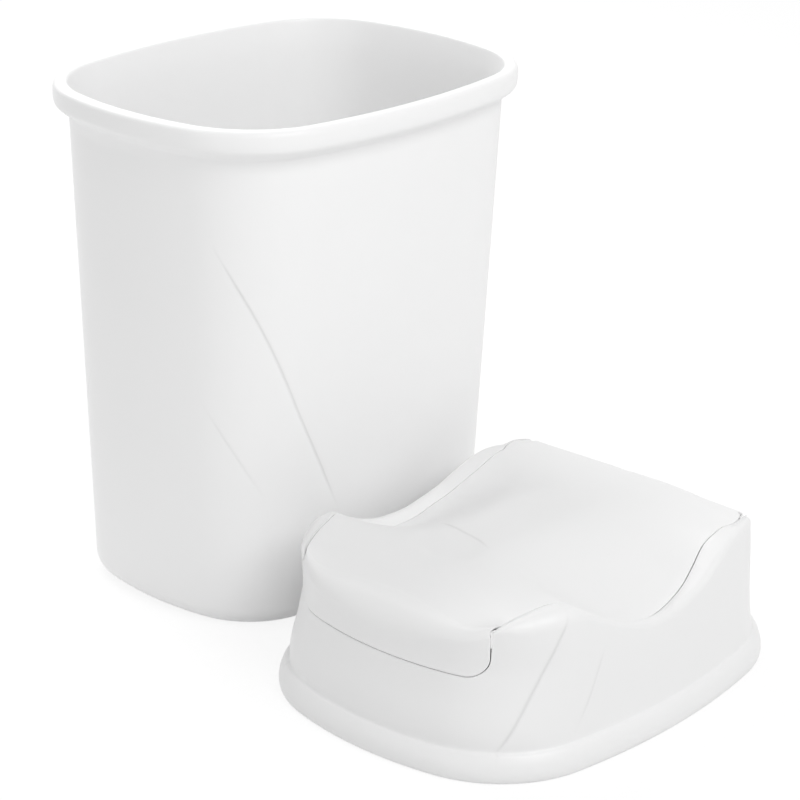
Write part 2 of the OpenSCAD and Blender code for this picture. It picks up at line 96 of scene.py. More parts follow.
# %% Grid to mesh
def skin(name, grid, closed_rows=False, closed_columns=False, flip=False, caps=()):
    """A mesh from a grid of points (rows, columns, 3) in millimetres. Each cell is one
    four-sided face, and flip turns all faces over. caps is a list of (row, height, upward): that
    row is filled with a fan of triangles to its middle at that height, facing up or down."""
    rows, columns, _ = grid.shape
    index = np.arange(rows * columns).reshape(rows, columns)
    if closed_rows:
        index = np.concatenate([index, index[:1]], axis=0)
    if closed_columns:
        index = np.concatenate([index, index[:, :1]], axis=1)
    corners = [index[:-1, :-1], index[:-1, 1:], index[1:, 1:], index[1:, :-1]]
    quads = np.stack(corners, axis=-1).reshape(-1, 4)
    points = grid.reshape(-1, 3)
    faces = quads[:, ::-1].tolist() if flip else quads.tolist()
    for row, height, upward in caps:
        ring = np.arange(columns) + (row % rows) * columns
        middle = np.append(points[ring, :2].mean(axis=0), height)
        points = np.concatenate([points, middle[None]])
        pairs = np.stack([ring, np.roll(ring, -1), np.full(columns, len(points) - 1)], axis=1)
        faces += (pairs if upward else pairs[:, ::-1]).tolist()
    mesh = bpy.data.meshes.new(name)
    mesh.from_pydata((points / 1000).tolist(), [], faces)
    mesh.shade_smooth()
    mesh.update()
    piece = bpy.data.objects.new(name, mesh)
    bpy.context.scene.collection.objects.link(piece)
    print(f"{name}: {len(mesh.vertices)} points, {len(mesh.polygons)} faces")
    return piece


def mix(a, b, t):
    """The value a share t of the way from a to b."""
    return a + (b - a) * t


def smooth(t):
    """A step from 0 to 1 that starts and ends level: t squared times (3 - 2 t)."""
    t = np.clip(t, 0.0, 1.0)
    return t * t * (3 - 2 * t)


def curve(knots, u):
    """A smooth curve through knots (u, value) with rising u. Between two knots it is the cubic
    whose slope at each knot is that of the line through the knots on either side."""
    k = np.asarray(knots, float)
    lower, upper = np.maximum(np.arange(len(k)) - 1, 0), np.minimum(np.arange(len(k)) + 1, len(k) - 1)
    slope = (k[upper, 1] - k[lower, 1]) / (k[upper, 0] - k[lower, 0])
    u = np.clip(u, k[0, 0], k[-1, 0])
    i = np.clip(np.searchsorted(k[:, 0], u, side="right") - 1, 0, len(k) - 2)
    step = k[i + 1, 0] - k[i, 0]
    t = (u - k[i, 0]) / step
    return ((2 * t**3 - 3 * t**2 + 1) * k[i, 1] + (t**3 - 2 * t**2 + t) * step * slope[i]
            + (3 * t**2 - 2 * t**3) * k[i + 1, 1] + (t**3 - t**2) * step * slope[i + 1])


def rounded_path(knots, steps):
    """Points on a rounded line through a list of knots, steps of them from knot to knot. Each
    stretch is the cubic (Catmull-Rom) that leaves a knot towards the one after the next."""
    k = np.asarray(knots, float)
    k = np.concatenate([[2 * k[0] - k[1]], k, [2 * k[-1] - k[-2]]])
    t = (np.arange(steps) / steps)[:, None]
    parts = [0.5 * (2 * b + (c - a) * t + (2 * a - 5 * b + 4 * c - d) * t**2
                    + (3 * b - a - 3 * c + d) * t**3)
             for a, b, c, d in zip(k[:-3], k[1:-2], k[2:-1], k[3:])]
    return np.concatenate(parts + [k[-2:-1]])


# %% [markdown]
# ## The outline
#
# Seen from above, tub and cover share one shape: a rounded rectangle whose four sides bow
# out a little, as moulded pails do to stay stiff. A point is found by the direction in which
# the wall faces there, so that moving the wall in or out is one number and every skin of
# the bin stays parallel to the next.

# %% Outline
# An outline is half width, half depth, side bow, end bow and corner radius
RIM = np.array([115.5, 150.0, 6.4, 4.0, 74.6])


def inset_outline(s, d):
    """The outline whose wall lies d further in: half sizes and corner radius lose d."""
    return s - d * np.array([1.0, 1.0, 0.0, 0.0, 1.0])


def bow_radius(half, bow):
    """Radius of the flat arc with that half length and that rise: (half^2 + bow^2) / (2 bow)."""
    return (half * half + bow * bow) / (2 * bow)


def outline_arcs(s):
    """Corner centre, the two bow radii, and the directions (radians) where bows meet the corner."""
    cx, cy = s[0] - s[4] - s[2], s[1] - s[4] - s[3]
    rx, ry = bow_radius(cy, s[2]), bow_radius(cx, s[3])
    return cx, cy, rx, ry, np.arcsin(cy / rx), np.pi / 2 - np.arcsin(cx / ry)


def outline_point(s, a, d):
    """Point of outline s where the wall faces direction a (degrees), moved in by d. In the first
    quarter it lies on the side bow, the corner arc or the end bow; the others are mirrored."""
    quarter = np.floor(a / 90).astype(int) % 4
    turn = a - 90 * np.floor(a / 90)
    b = np.radians(np.where(quarter % 2 == 0, turn, 90 - turn))
    cx, cy, rx, ry, a1, a2 = outline_arcs(s)
    r = s[4] - d
    x = np.where(b <= a1, cx + s[2] - rx + (rx + r) * np.cos(b),
                 np.where(b < a2, cx + r * np.cos(b), (ry + r) * np.cos(b)))
    y = np.where(b <= a1, (rx + r) * np.sin(b),
                 np.where(b < a2, cy + r * np.sin(b), cy + s[3] - ry + (ry + r) * np.sin(b)))
    return x * np.where((quarter == 0) | (quarter == 3), 1, -1), y * np.where(quarter < 2, 1, -1)


def ring_angles(s, side, corner, end):
    """Directions round one outline, evenly shared within side bow, corner and end bow."""
    _, _, _, _, a1, a2 = outline_arcs(s)
    a1, a2 = np.degrees(a1), np.degrees(a2)
    q = np.concatenate([a1 * np.arange(side) / side, a1 + (a2 - a1) * np.arange(corner) / corner,
                        a2 + (90 - a2) * np.arange(end) / end])
    back = np.concatenate([[90.0], q[:0:-1]])
    return np.concatenate([q, 180 - back, 180 + q, 360 - back])


def along_wall(a, x, y):
    """Distance in mm along each row of points from the middle of the side, growing towards the
    front on both sides. Rows run round the outline, a holds each column's direction."""
    step = np.hypot(np.diff(x, axis=1, append=x[:, :1]), np.diff(y, axis=1, append=y[:, :1]))
    walked = np.cumsum(step, axis=1) - step
    left = walked[:, [int(np.argmin(np.abs(a - 180)))]]
    right_front = step.sum(axis=1, keepdims=True) - walked
    return np.where(a >= 270, right_front, np.where(a > 90, walked - left, -walked))


FADE_OUT = 1.6  # mm that y reaches at the very end of a line, about twice the groove's half width


def crease(piece, name, along, height, outside, knots, depth, fade):
    """Draws a line on a wall and keeps, for each vertex, where it lies from that line: x is the
    signed distance in mm, y grows over the last stretch of the line (fade, in mm) and beyond, so
    that the crease runs out softly, and z is the depth share. knots are (height, distance along
    the wall). The gap along the wall is shrunk by the line's lean, 1 / sqrt(1 + slope^2)."""
    low, high = knots[0][0], knots[-1][0]
    slope = (curve(knots, height + 2) - curve(knots, height - 2)) / 4
    off = (along - curve(knots, height)) / np.sqrt(1 + slope**2)
    end = FADE_OUT / fade * np.maximum(0, fade - np.minimum(height - low, high - height))
    values = np.zeros((len(piece.data.vertices), 3))
    share = np.where(outside, depth, 0) + 0 * off
    values[:off.size] = np.stack([off, end, share], axis=-1).reshape(-1, 3)
    piece.data.attributes.new(name, "FLOAT_VECTOR", "POINT").data.foreach_set("vector", values.ravel())


four = [np.round(outline_point(RIM, np.array(a), 0.0), 1).tolist() for a in (0.0, 45.0, 90.0, 270.0)]
print("rim outline at four directions", four)

# %% [markdown]
# ## The tub
#
# The tub is a deep draw with walls that lean in towards the floor, so it leaves its mould
# and nests in the next one. Its rim is rolled outward and down: that stiffens the mouth and
# hides the cut edge. The section below is one line: under the foot, up the outside, over
# the roll, and down the inside. Each point has a height and a distance in from the wall.

# %% Tub
TUB_HEIGHT = 334.0
RIM_TOP = 10.4
RIM_BEAD = 21.0
TUB_WALL = 2.6
FOOT_RADIUS = 12.0
FOOT_STEPS, WALL_STEPS = 13, 24
TUB_STATIONS = (20, 56, 18)  # points on a quarter's side bow, corner and end bow
TUB_TOP = inset_outline(RIM, RIM_TOP)
# The foot is narrower by the lean of side and end, with flatter bows and tighter corners
SIDE_LEAN, END_LEAN, CORNER_LEAN = 9.7, 11.7, 5.0
TUB_FOOT = np.array([TUB_TOP[0] - SIDE_LEAN, TUB_TOP[1] - END_LEAN, RIM[2] * 0.94, RIM[3] * 0.76,
                     TUB_TOP[4] - CORNER_LEAN])


def foot_arc(r, degrees):
    """Points (height, distance in) of a round of radius r between wall (0) and floor (90)."""
    t = np.radians(degrees)
    return np.stack([FOOT_RADIUS - r * np.sin(t), FOOT_RADIUS - r * np.cos(t)], axis=1)


def tub_section():
    """Heights and distances in along the section, as an array (points, 2)."""
    high = TUB_HEIGHT - RIM_BEAD
    outer = [[z, 0.0] for z in np.linspace(20, high - 8, WALL_STEPS)] + [[high, 0.0]]
    roll = [[rise, depth - RIM_TOP] for rise, depth in
            [[TUB_HEIGHT - 19, 8.6], [TUB_HEIGHT - 16, 4.2], [TUB_HEIGHT - 13.5, 1.6], [TUB_HEIGHT - 10, 0.7],
             [TUB_HEIGHT - 5, 0.6], [TUB_HEIGHT - 2.4, 1.0], [TUB_HEIGHT - 0.9, 2.2], [TUB_HEIGHT, 4.2],
             [TUB_HEIGHT, RIM_TOP - 2.6], [TUB_HEIGHT - 0.7, RIM_TOP - 1], [TUB_HEIGHT - 2.4, RIM_TOP - 0.2]]]
    inner = [[z, TUB_WALL] for z in np.linspace(TUB_HEIGHT - 23, FOOT_RADIUS + 4, 20)]
    over = rounded_path([outer[-1]] + roll, 6)
    over[:, 0] = np.minimum(over[:, 0], TUB_HEIGHT)
    foot_outside = foot_arc(FOOT_RADIUS, np.linspace(90, 0, FOOT_STEPS))
    foot_inside = foot_arc(FOOT_RADIUS - TUB_WALL, np.linspace(0, 90, FOOT_STEPS))
    return np.concatenate([foot_outside, outer[:-1], over, inner, foot_inside])


def tub_grid(section):
    """Points of the tub: at each height the outline is a mix of foot and top outlines."""
    share = np.clip(section[:, 0] / (TUB_HEIGHT - RIM_BEAD), 0, 1)
    rows = []
    for (z, d), t in zip(section, share):
        s = mix(TUB_FOOT, TUB_TOP, t)
        a = ring_angles(s, *TUB_STATIONS)
        x, y = outline_point(s, a, d)
        rows.append(np.stack([x, y, np.full_like(x, z)], axis=1))
    return np.stack(rows)


tub_points = tub_grid(tub_section())
tub = skin("tub_moulding", tub_points, closed_columns=True, caps=[(0, 0.0, False), (-1, TUB_WALL, True)])
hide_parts("tub")
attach(tub, "tub")

# %% [markdown]
# Two soft creases run down each front corner of the tub, leaning back towards the floor.
# They are only a few tenths of a millimetre deep, so they are drawn as lines on the wall. The
# mesh keeps the distance from each line, and the material turns that into a shallow groove with
# painted shade inside it.
# The second line of each pair is the fainter one.

# %% Tub: creases
# Each crease is a list of (height, distance along the wall), in mm
TUB_CREASES = [[[70, 50], [110, 68], [145, 84.5], [180, 99.5], [215, 117], [262, 146]],
               [[88, 104], [124, 127.5], [158, 151]]]

directions = ring_angles(TUB_TOP, *TUB_STATIONS)
wall_distance = along_wall(directions, tub_points[..., 0], tub_points[..., 1])
outer_rows = FOOT_STEPS + WALL_STEPS
outside = (np.arange(len(tub_points)) < outer_rows)[:, None]
for count, (line, share) in enumerate(zip(TUB_CREASES, (1.0, 0.55)), 1):
    crease(tub, f"crease_{count}", wall_distance, tub_points[..., 2], outside, line, share, 32)
print("creases can reach up to", tub_points[outer_rows - 1, 0, 2], "mm on the tub")

# %% [markdown]
# ## The cover
#
# The cover is a frame with a double wall. Its outer wall rises from a flared band, turns
# over a rail that dips at the sides like a saddle, and comes down inside to a flat deck
# with the opening. The seam between rail and flap is the line that the eye follows, so its
# place and height come first, as two curves, and the section is hung on them.

# %% Cover: the seam and the wall
LID_PLACE = np.array([227.0, -21.5, 0.0])
BAND = inset_outline(RIM, -5.2)
# Heights of the humps in front, the crest behind, the dip between them and the deck, and how far
# in from the band the opening lies
HUMP, CREST, DIP, DECK, OPENING = 100.0, 96.0, 67.0, 42.0, 56.0
WALL, GAP = 2.4, 0.7
# The lip: half width and lower edge of its recess, the round at its ends, how far in from the
# band it is worked out, and how far it stands proud of the wall
LIP_HALF, LIP_BOTTOM, LIP_CORNER, LIP_DEPTH, LIP_PROUD = 73.1, 61.0, 12.5, 15.2, 0.4
SEEN_GAP = 0.45  # the flap's edge is full and round here, so its gap is closer than that of the facets
FLAP_HALF = LIP_HALF - SEEN_GAP
HINGE_BACK, HINGE_UP, BARREL = 105.0, 88.5, 7.5
REAR_EDGE = HINGE_BACK + BARREL + 0.8

# The seam: distance in from the band against direction, and height against depth
SEAM_INSET = [[-53.3, 15.6], [-47, 17.9], [-40, 21.4], [-26, 25.7], [-15, 26.4], [-9.5, 24.3], [-7.3, 22],
              [-4.5, 22.1], [0, 23.4], [3, 24.2], [5.5, 26.6], [7.5, 28.6], [9.2, 27], [12, 24.4],
              [18, 21.2], [25, 19.4], [30, 18], [35, 17], [42, 16.4]]
SEAM_HEIGHT = [[-127, HUMP - 12], [-119, HUMP - 6.5], [-109, HUMP - 3], [-95, HUMP - 0.5], [-85, HUMP],
               [-75, HUMP - 2.5], [-67, mix(HUMP, DIP, 0.22)], [-58, mix(HUMP, DIP, 0.44)],
               [-48, mix(HUMP, DIP, 0.65)], [-36, mix(HUMP, DIP, 0.84)], [-22, mix(HUMP, DIP, 0.97)],
               [-8, DIP], [6, DIP + 0.8], [20, mix(CREST, DIP, 0.85)], [34, mix(CREST, DIP, 0.69)],
               [50, mix(CREST, DIP, 0.40)], [60, mix(CREST, DIP, 0.22)], [72, mix(CREST, DIP, 0.08)],
               [86, CREST - 0.8], [97, CREST], [120, CREST - 5]]
# The outer wall's distance in against height, the hollow added at the front, and the rail's rise
# over the seam against depth
WALL_INSET = [[18.5, 8], [24, 8.9], [32, 9.9], [45, 11], [60, 11.8], [75, 12.6], [100, 14.4]]
FRONT_HOLLOW = [[18, 0], [24, -1.2], [31, -1.2], [38, -0.2], [47, 1.5], [56, 2.8], [63, 3.6],
                [70, 3.4], [83, 1.6], [90, 0.5]]
RAIL_RISE = [[-85, -1], [-66, 0.6], [-50, 3.8], [-36, 5.2], [-20, 5.2], [-4, 4.4], [15, 3],
             [36, 1.8], [58, 0.4], [72, -0.2], [86, -1.2], [98, -1.5]]
LIP_ANGLE = math.degrees(math.acos((LIP_HALF - (BAND[0] - BAND[4] - BAND[2])) / (BAND[4] - LIP_DEPTH)))


def from_side(a):
    """Direction measured from the side, positive to the back, so that left and right agree."""
    return np.where(a <= 90, a, np.where(a <= 270, 180 - a, a - 360))


def seam_in(a):
    """Distance of the seam in from the band, held to the straight rear edge at the back."""
    u = from_side(a)
    _, y = outline_point(BAND, a, 0.0)
    to_rear = (y - REAR_EDGE) / np.maximum(0.3, np.sin(np.radians(u)))
    return np.where(u > 30, np.maximum(curve(SEAM_INSET, u), to_rear), curve(SEAM_INSET, u))


def wall_inset(a, z):
    """The outer wall: a curve against height, and towards the front a second one is added, which
    hollows the wall a little below the humps."""
    return curve(WALL_INSET, z) + smooth(-1.25 * np.sin(np.radians(a))) * curve(FRONT_HOLLOW, z)


def lip_height(x, g=0.0):
    """Lower edge of the flap's lip: level, then a quarter circle up at each end. With g, the line
    that runs g outside it."""
    r = LIP_CORNER + g
    u = np.clip(np.abs(x) - (LIP_HALF - GAP - LIP_CORNER), 0, r)
    return LIP_BOTTOM + LIP_CORNER - np.sqrt(r * r - u * u)


print("lip ends where the wall faces", round(LIP_ANGLE, 1), "degrees forward of the side")

# %% [markdown]
# Each station round the outline gets its own section. Beside the flap it goes over the
# rail; behind the lip it stops lower, to leave room for the lip. Both kinds have the same
# number of points, so that one grid can hold them all.

# %% Cover: sections and skin
BAND_SECTION = [[4.6, 0.8], [4.3, 0.2], [3.7, 0], [2.4, 0.6], [1.5, 2.2], [1.2, 4.6], [1.6, 8],
                [3, 12], [4.8, 15], [6, 16.4], [7, 17], [7.7, 17.6], [8, 18.5]]
BAND_STEPS = 3  # points from knot to knot of the band's section
WALL_LEVELS = (12, 6, 8)  # levels up the wall: shared by all sections, shared by most, and free
LEDGE_ROUND = 0.6  # radius of the edge under the lip
EDGE_TURN = np.radians(np.linspace(0, 90, 11)[1:])  # the round at the top of the outer wall


def bowl_inset(w, foot, top, z):
    """The bowl's wall leans evenly from the deck's edge out to the seam."""
    return mix(foot, w, np.clip((z - DECK) / (top - DECK), 0, 1))


def wall_points(a, top_inset, top):
    """Points up the outer wall, eased over to top_inset at height top. Neighbouring sections of
    unlike height share their levels as far up as they can, so that no false crease shows."""
    shared_top, ease_from = 56.0, 66.0
    knee = np.minimum(72.0, top - 0.8)
    low, middle, high = WALL_LEVELS
    levels = ([np.full_like(a, z) for z in np.linspace(20, shared_top, low)]
              + [mix(shared_top, knee, t) for t in np.linspace(0, 1, middle + 1)[1:]]
              + [mix(knee, top, t) for t in np.linspace(0, 1, high + 1)[1:]])
    points = []
    for z in levels:
        ease = (top_inset - wall_inset(a, top)) * smooth((z - ease_from) / np.maximum(1, top - ease_from))
        points.append((wall_inset(a, z) + ease, z))
    return points


def hollow(a, w, foot, top, wide_top):
    """Inside of the double wall: under the deck, over the hollow's top, down the outer wall."""
    low = DECK + 2
    z1 = top - WALL - 3
    gap_top = bowl_inset(w, foot, top, z1) - wall_inset(a, z1) - 2 * WALL
    z = mix(low, z1, np.linspace(0, 1, 13)[:, None])
    fits = bowl_inset(w, foot, top, z) - wall_inset(a, z) > 2 * WALL + 1
    zc = np.where(fits, z, low).max(axis=0)
    xb, xo = bowl_inset(w, foot, top, zc) - WALL, wall_inset(a, zc) + WALL
    zm = np.minimum(63, np.where(gap_top > 4, wide_top[3][1], zc - 0.8) - 2)
    narrow = [(xb, zc - 0.8), (xb - 0.3, zc), (xo + 0.3, zc), (xo, zc - 0.8)]
    full = np.full_like(a, 1.0)
    tops = [(np.where(gap_top > 4, wx, nx), np.where(gap_top > 4, wz, nz))
            for (wx, wz), (nx, nz) in zip(wide_top, narrow)]
    return ([(OPENING * full, DECK * full), (OPENING * full, (DECK - WALL) * full),
             (foot + 3, (DECK - WALL) * full), (foot - WALL + 0.8, DECK * full)] + tops
            + [(wall_inset(a, zm) + WALL, zm), (wall_inset(a, 30.0) + WALL, 30 * full),
               (wall_inset(a, 20.0) + WALL, 20 * full)])


def rail_section(a):
    """Outer wall, rounded rail edge, top, seam edge and bowl, for stations beside the flap."""
    w = seam_in(a)
    _, y = outline_point(BAND, a, w)
    back, corner = smooth((y - 106) / 8), smooth((y - 78) / 25)
    zs = curve(SEAM_HEIGHT, y) - 7 * back
    ze = zs + curve(RAIL_RISE, y) - 1.5 * back
    wanted = mix(mix(4.5, 9, smooth((-y - 60) / 25)), 12, corner)
    rr = np.minimum(wanted, np.maximum(0.8, w - np.minimum(wall_inset(a, ze - 4), w - 1.8) - 0.8))
    wi = np.minimum(wall_inset(a, ze - rr), w - 1.8)
    foot = np.maximum(w + 2, 23.0)
    x2 = bowl_inset(w, foot, zs, zs - 4) - WALL - 0.6
    return (wall_points(a, wi, ze - rr)
            + [(wi + rr * (1 - math.cos(k)), ze - rr + rr * math.sin(k)) for k in EDGE_TURN]
            + [(mix(wi + rr, w, 0.3), mix(ze, zs, 0.17)), (mix(wi + rr, w, 0.65), mix(ze, zs, 0.56)),
               (w - 0.5, zs), (w - 0.15, zs - 0.15), (w, zs - 0.5),
               (bowl_inset(w, foot, zs, zs - 5), zs - 5), (foot, np.full_like(a, DECK + 1.5)),
               (foot + 1.5, np.full_like(a, DECK))]
            + hollow(a, w, foot, zs,
                     [(bowl_inset(w, foot, zs, zs - 6) - WALL, zs - 6), (x2, zs - WALL - 0.8),
                      (np.minimum(wi + rr + 0.3, x2 - 0.8), ze - WALL - 0.6),
                      (wi + WALL + 0.3, ze - rr - 0.8)]))


def lip_section(a):
    """Outer wall up to the lip's lower seam, a ledge behind the lip, and the bowl."""
    x, _ = outline_point(BAND, a, LIP_DEPTH)
    zl = lip_height(x, GAP)
    wi = wall_inset(a, zl)
    w = np.maximum(wi, LIP_DEPTH) + WALL + GAP + 0.6
    top = np.full_like(a, LIP_BOTTOM + 16)
    foot = np.maximum(w + 5, 23.0)
    return (wall_points(a, wi, zl - LEDGE_ROUND)
            + [(wi + LEDGE_ROUND * (1 - math.cos(k)), zl - LEDGE_ROUND * (1 - math.sin(k)))
               for k in EDGE_TURN]
            + [(wi + 1.6, zl), (wi + 2.4, zl), (w, zl), (w + 0.2, mix(zl, top, 0.5)), (w + 0.4, top),
               (w + 0.4 + WALL, top), (foot, np.full_like(a, DECK + 1.5)),
               (foot + 1.5, np.full_like(a, DECK))]
            + hollow(a, w, foot, zl + 3, [(w, zl)] * 4))


def cover_grid(a):
    """All sections as a grid (stations, section points, 3)."""
    flare = [(np.full_like(a, d), np.full_like(a, z)) for d, z in rounded_path(BAND_SECTION, BAND_STEPS)]
    rail, lip = rail_section(a), lip_section(a)
    behind_lip = from_side(a) < -LIP_ANGLE + 0.01
    middle = [(np.where(behind_lip, ld, rd), np.where(behind_lip, lz, rz))
              for (rd, rz), (ld, lz) in zip(rail, lip)]
    step = [(np.full_like(a, d), np.full_like(a, 12.6)) for d in (10.6, 4.6)]
    flare = [(d, np.maximum(z, 0)) for d, z in flare]
    d, z = (np.stack(part, axis=1) for part in zip(*(flare + middle + step)))
    x, y = outline_point(BAND, a[:, None], d)
    return np.stack([x, y, z], axis=-1) + LID_PLACE


def lid_stations():
    """Directions round the cover, with a close pair where the lip ends and one at each rear corner."""
    a = ring_angles(BAND, 40, 110, 30)
    pair = np.array([LIP_ANGLE - 0.3, LIP_ANGLE])
    a = a[(np.abs(from_side(a) + LIP_ANGLE - 0.15) > 0.3) & (np.abs(from_side(a) - REAR_CORNER) > 0.2)]
    return np.sort(np.concatenate([a, [REAR_CORNER, 180 - REAR_CORNER], 180 + pair, 360 - pair]))


# The rear corner of the opening: the direction where the side seam's inset equals that of the rear edge
probe = np.linspace(35, 50, 3001)
side_inset = curve(SEAM_INSET, probe)
REAR_CORNER = float(probe[np.argmin(np.abs(seam_in(probe) - side_inset) < 1e-9) - 1])
stations = lid_stations()
cover_points = cover_grid(stations)
cover = skin("cover_moulding", cover_points, closed_rows=True, closed_columns=True, flip=True)
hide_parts("cover")
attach(cover, "cover")

# %% [markdown]
# The cover has two creases at each front corner as well, leaning forward towards the floor, with
# painted shade inside them.

# %% Cover: creases
COVER_CREASES = [[[12, 138], [37, 119.5], [56, 107.5], [74, 97.5], [100, 84]],
                 [[22, 84], [36, 73.5], [50, 66], [72, 57]]]

on_lid = cover_points - LID_PLACE
wall_distance = along_wall(stations, on_lid[..., 0].T, on_lid[..., 1].T).T
outer_points = (len(BAND_SECTION) - 1) * BAND_STEPS + 1 + sum(WALL_LEVELS) + len(EDGE_TURN)
outside = np.arange(cover_points.shape[1])[None] < outer_points
for count, (line, share) in enumerate(zip(COVER_CREASES, (1.0, 0.5)), 1):
    crease(cover, f"crease_{count}", wall_distance, on_lid[..., 2], outside, line, share, 16)
print("creases can reach up to", np.round(on_lid[:, outer_points - 1, 2].max(), 1), "mm on the cover")

# %% [markdown]
# ## The flap
#
# The flap is one thin sheet. Its middle runs nearly level from the front to the hinge, its
# sides sink with the rail to keep the gap even, and at the front it rolls over a soft nose
# into the lip. A barrel along the back turns on the hinge line, so that the gap there stays
# the same as the flap opens. Rows run from the lip's edge to the barrel, columns across.

# %% Flap: heights
# Height of the flap's middle against depth
MID_HEIGHT = [[-142, HUMP - 14], [-122, HUMP - 8.5], [-105, HUMP - 2.5], [-83, HUMP + 1.5],
              [-55, HUMP + 3], [-20, HUMP + 2.5], [20, mix(HUMP, CREST, 0.3) + 3],
              [60, mix(HUMP, CREST, 0.8) + 1.8], [90, CREST + 0.6], [HINGE_BACK, CREST]]
BARREL_HALF = 82.0

side = np.sort(from_side(stations[(stations > 270) | (stations < 60)]))
seam_angle = np.where(side < 0, side + 360, side)
seam_x, seam_y = outline_point(BAND, seam_angle, seam_in(seam_angle))
keep = np.concatenate([[True], np.diff(seam_y) > 0.02])
seam_x, seam_y = seam_x[keep] - SEEN_GAP, seam_y[keep]


def half_width(y):
    """Half width of the flap at depth y, read off the seam."""
    return np.interp(y, seam_y, seam_x)


def flap_height(x, y, half):
    """Middle height and seam height, eased from one to the other across the flap."""
    rear = np.clip((y - HINGE_BACK + 8) / 8, 0, 1)
    rear_edge = mix(curve(SEAM_HEIGHT, HINGE_BACK - 8.0), CREST - 1, rear)
    edge = np.where(rear > 0, rear_edge, curve(SEAM_HEIGHT, y))
    return mix(curve(MID_HEIGHT, y), edge, smooth((np.abs(x) / half - 0.16) / 0.84))


def thumb_dish(x, y):
    """Depth of the shallow oval dish near the front of the flap: 0.8 mm, with soft edges."""
    out = np.hypot((x + 6) / 27, (y + 70) / 20)
    return 0.8 * smooth((1 - out) / 0.4)


def front_angle(x, d):
    """Direction in degrees in which the front wall, moved in by d, faces at distance x from the
    middle: the arc cosine of x over the bow's radius, or on the corner of (x - cx) / r."""
    cx, _, _, ry, _, a2 = outline_arcs(BAND)
    r, u = BAND[4] - d, np.abs(x)
    bow, corner = np.arccos(np.clip(u / (ry + r), -1, 1)), np.arccos(np.clip((u - cx) / r, -1, 1))
    return np.degrees(np.where(u <= cx + r * np.cos(a2), bow, corner))


def lip_at(x, z):
    """Place (x, y) of the lip's front face at height z, a little proud of the cover's wall. x says
    which way it faces, so the lip's ends follow the cover's stations as the wall leans."""
    facing = front_angle(x, LIP_DEPTH)
    across, depth = outline_point(BAND, facing, wall_inset(-facing, z) - LIP_PROUD)
    return np.sign(x) * across, -depth


def nose(x):
    """The round between lip and top, soft in the middle and tight at the ends: its radius, its
    foremost depth, its highest point and its distance across. The depth is found at the height
    where the round starts, so the lip runs into it without a step."""
    r = mix(20.0, 7.0, smooth(np.abs(x) / FLAP_HALF))
    _, first = lip_at(x, LIP_BOTTOM + 16)
    across, front = lip_at(x, flap_height(x, first + r, FLAP_HALF) - r)
    return r, front, flap_height(x, front + r, FLAP_HALF), across


def moved_in(x, y, z, x0, angle, t):
    """A row of points moved in by t: square to the lip at angle 0, downward at a right angle.
    Sideways the move follows the direction that the wall faces at x0."""
    facing = np.radians(front_angle(x0, LIP_DEPTH))
    return np.stack([x - np.sign(x0) * t * np.cos(facing) * math.cos(angle),
                     y + t * np.sin(facing) * math.cos(angle), z - t * math.sin(angle)], axis=1)


# %% [markdown]
# The sheet is built twice, once for its outer face and once moved in by its thickness, and
# the two are joined round the edge. Close columns near the edge give it a real small round,
# which is what catches the light along the seam.

# %% Flap: skin
EDGE_ROUND = 0.7
NEAR_EDGE = np.array([0, 0.06, 0.2, 0.42, 0.7, 1.5, 2.9])  # mm from the sheet's edge
RIB_WIDTH, RIB_DEPTH = 3.0, 6.0  # the sheet's edge is stiffened by a rib below
LIP_ROWS, NOSE_ROWS, TOP_ROWS, BARREL_ROWS = 14, 18, 110, 16
HALF_SPAN = 90.0  # mm that stand for half the flap's width where columns are placed


def edge_drop(distance):
    """How far a quarter round has dropped at that distance from the edge: r - sqrt(r^2 - u^2)."""
    u = np.clip(1 - distance / EDGE_ROUND, 0, 1)
    return EDGE_ROUND * (1 - np.sqrt(1 - u * u))


def flap_columns():
    """Positions across the flap from -1 to 1 and each one's distance from the edge in mm."""
    inner = np.linspace(0, 1 - 4.5 / HALF_SPAN, 46)
    half = np.concatenate([inner, (1 - NEAR_EDGE / HALF_SPAN)[::-1]])
    across = np.concatenate([-half[:0:-1], half])
    return across, (1 - np.abs(across)) * HALF_SPAN


